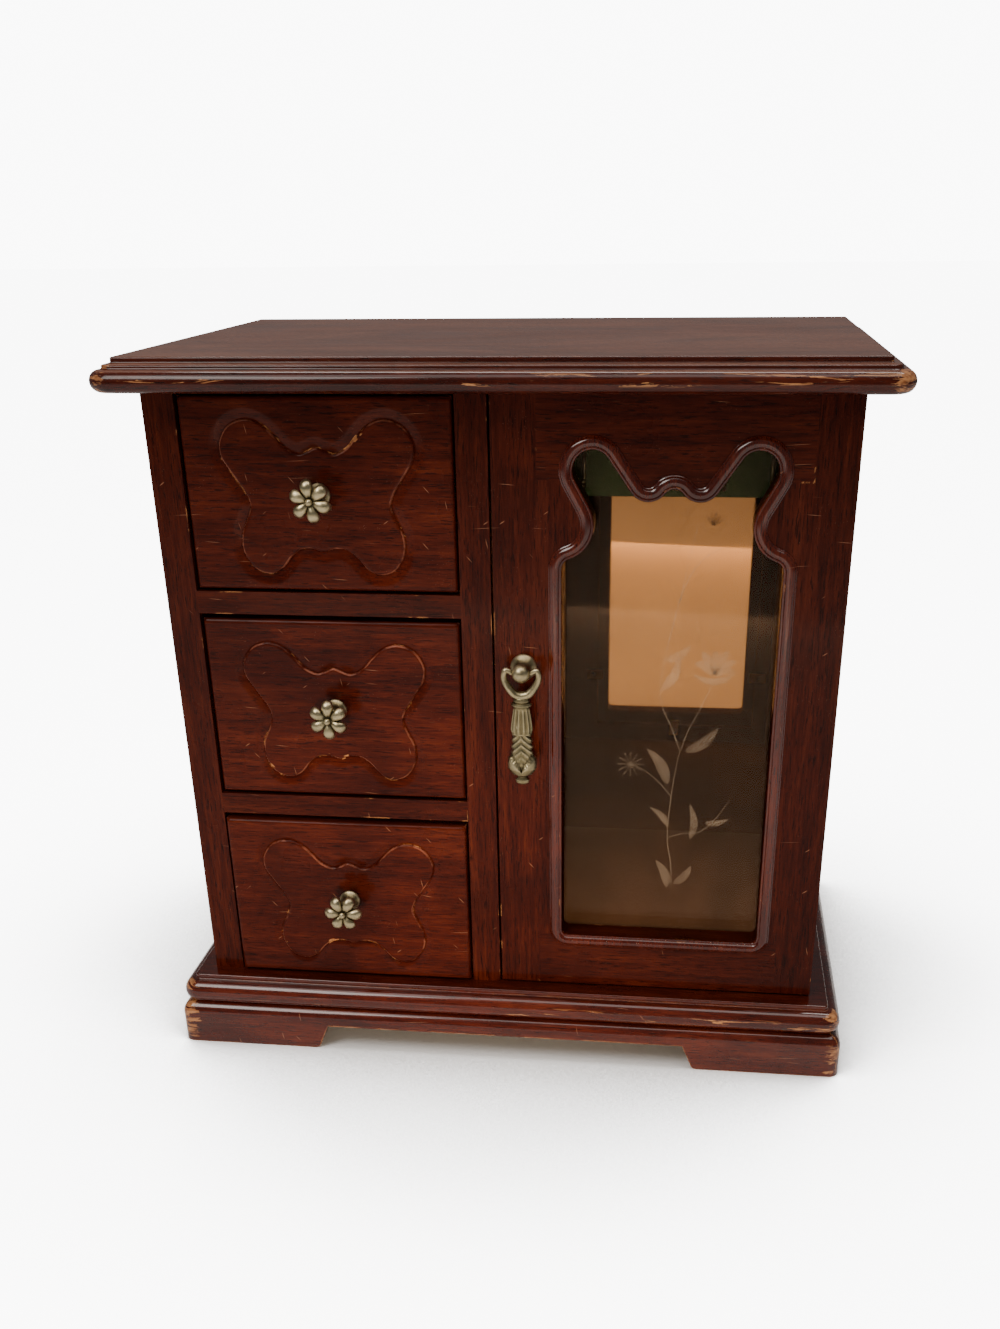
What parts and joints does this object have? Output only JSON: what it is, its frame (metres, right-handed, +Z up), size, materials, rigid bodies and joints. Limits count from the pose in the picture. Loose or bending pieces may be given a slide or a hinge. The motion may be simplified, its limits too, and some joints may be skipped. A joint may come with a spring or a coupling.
{
  "type": "jewelry armoire",
  "caption": "Table-top jewelry armoire with carved drawers beside a glazed door with a scalloped head, on a moulded base with bracket feet.",
  "frame": {"origin": "bottom centre of the whole object's box, where the feet stand", "axes": "+X to the viewer's right along the front, +Y from the front to the back, +Z up"},
  "size_m": [0.2814, 0.1875, 0.2761],
  "materials": {
    "case_wood": "reddish mahogany stain under gloss lacquer, worn at the edges",
    "front_wood": "reddish mahogany stain under gloss lacquer, grain across",
    "door_wood": "reddish mahogany stain under gloss lacquer, grain upright",
    "bead_wood": "dark glossy lacquer",
    "inner_wood": "plain unstained board",
    "brass": "aged, greenish in the hollows",
    "steel": "zinc plated",
    "glass": "clear with an etched flower",
    "mirror": "silvered glass",
    "green_felt": "short felt",
    "brown_felt": "short felt"
  },
  "bodies": {
    "carcass": {"top_board": "case_wood", "left_side_panel": "case_wood", "right_side_panel": "case_wood", "centre_partition": "case_wood", "floor_board": "inner_wood", "back_panel": "inner_wood", "left_front_stile": "case_wood", "centre_front_stile": "case_wood", "lower_drawer_rail": "case_wood", "upper_drawer_rail": "case_wood", "drawer_runners": "inner_wood", "base_board": "case_wood", "plinth_front": "case_wood", "plinth_left": "case_wood", "plinth_right": "case_wood", "plinth_back": "case_wood", "mirror": "mirror", "mirror_backing_board": "inner_wood", "hook_board": "green_felt", "necklace_hooks": "brass", "compartment_felt": "brown_felt", "catch_magnet": "steel", "door_pivot_pins": "steel"},
    "bottom_drawer": {"bottom_drawer_front": "front_wood", "bottom_drawer_left_side": "inner_wood", "bottom_drawer_right_side": "inner_wood", "bottom_drawer_back": "inner_wood", "bottom_drawer_bottom": "inner_wood", "bottom_drawer_felt": "green_felt", "bottom_drawer_knob": "brass", "bottom_drawer_knob_screw": "steel"},
    "middle_drawer": {"middle_drawer_front": "front_wood", "middle_drawer_left_side": "inner_wood", "middle_drawer_right_side": "inner_wood", "middle_drawer_back": "inner_wood", "middle_drawer_bottom": "inner_wood", "middle_drawer_felt": "green_felt", "middle_drawer_knob": "brass", "middle_drawer_knob_screw": "steel"},
    "top_drawer": {"top_drawer_front": "front_wood", "top_drawer_left_side": "inner_wood", "top_drawer_right_side": "inner_wood", "top_drawer_back": "inner_wood", "top_drawer_bottom": "inner_wood", "top_drawer_felt": "green_felt", "top_drawer_knob": "brass", "top_drawer_knob_screw": "steel"},
    "door": {"door_left_stile": "door_wood", "door_right_stile": "door_wood", "door_top_rail": "door_wood", "door_bottom_rail": "door_wood", "window_bead": "bead_wood", "window_glass": "glass", "glass_clips": "brass", "glass_clip_screws": "steel", "catch_strike_plate": "steel", "door_pivot_bushes": "brass", "pull_post": "brass"},
    "door_pull": {"pull_pendant": "brass"}
  },
  "joints": [
    {"name": "top_drawer_slide", "type": "slide", "parent": "carcass", "child": "top_drawer", "axis": [0, -1, 0], "range_m": [0, 0.105]},
    {"name": "middle_drawer_slide", "type": "slide", "parent": "carcass", "child": "middle_drawer", "axis": [0, -1, 0], "range_m": [0, 0.105]},
    {"name": "bottom_drawer_slide", "type": "slide", "parent": "carcass", "child": "bottom_drawer", "axis": [0, -1, 0], "range_m": [-0.002, 0.103]},
    {"name": "door_hinge", "type": "hinge", "parent": "carcass", "child": "door", "pos_m": [0.1205, -0.06975, 0.148], "axis": [0, 0, 1], "range_deg": [0, 110]},
    {"name": "pull_swing", "type": "hinge", "parent": "door", "child": "door_pull", "pos_m": [0.0096, -0.08475, 0.1672], "axis": [-1, 0, 0], "range_deg": [0, 80]}
  ]
}
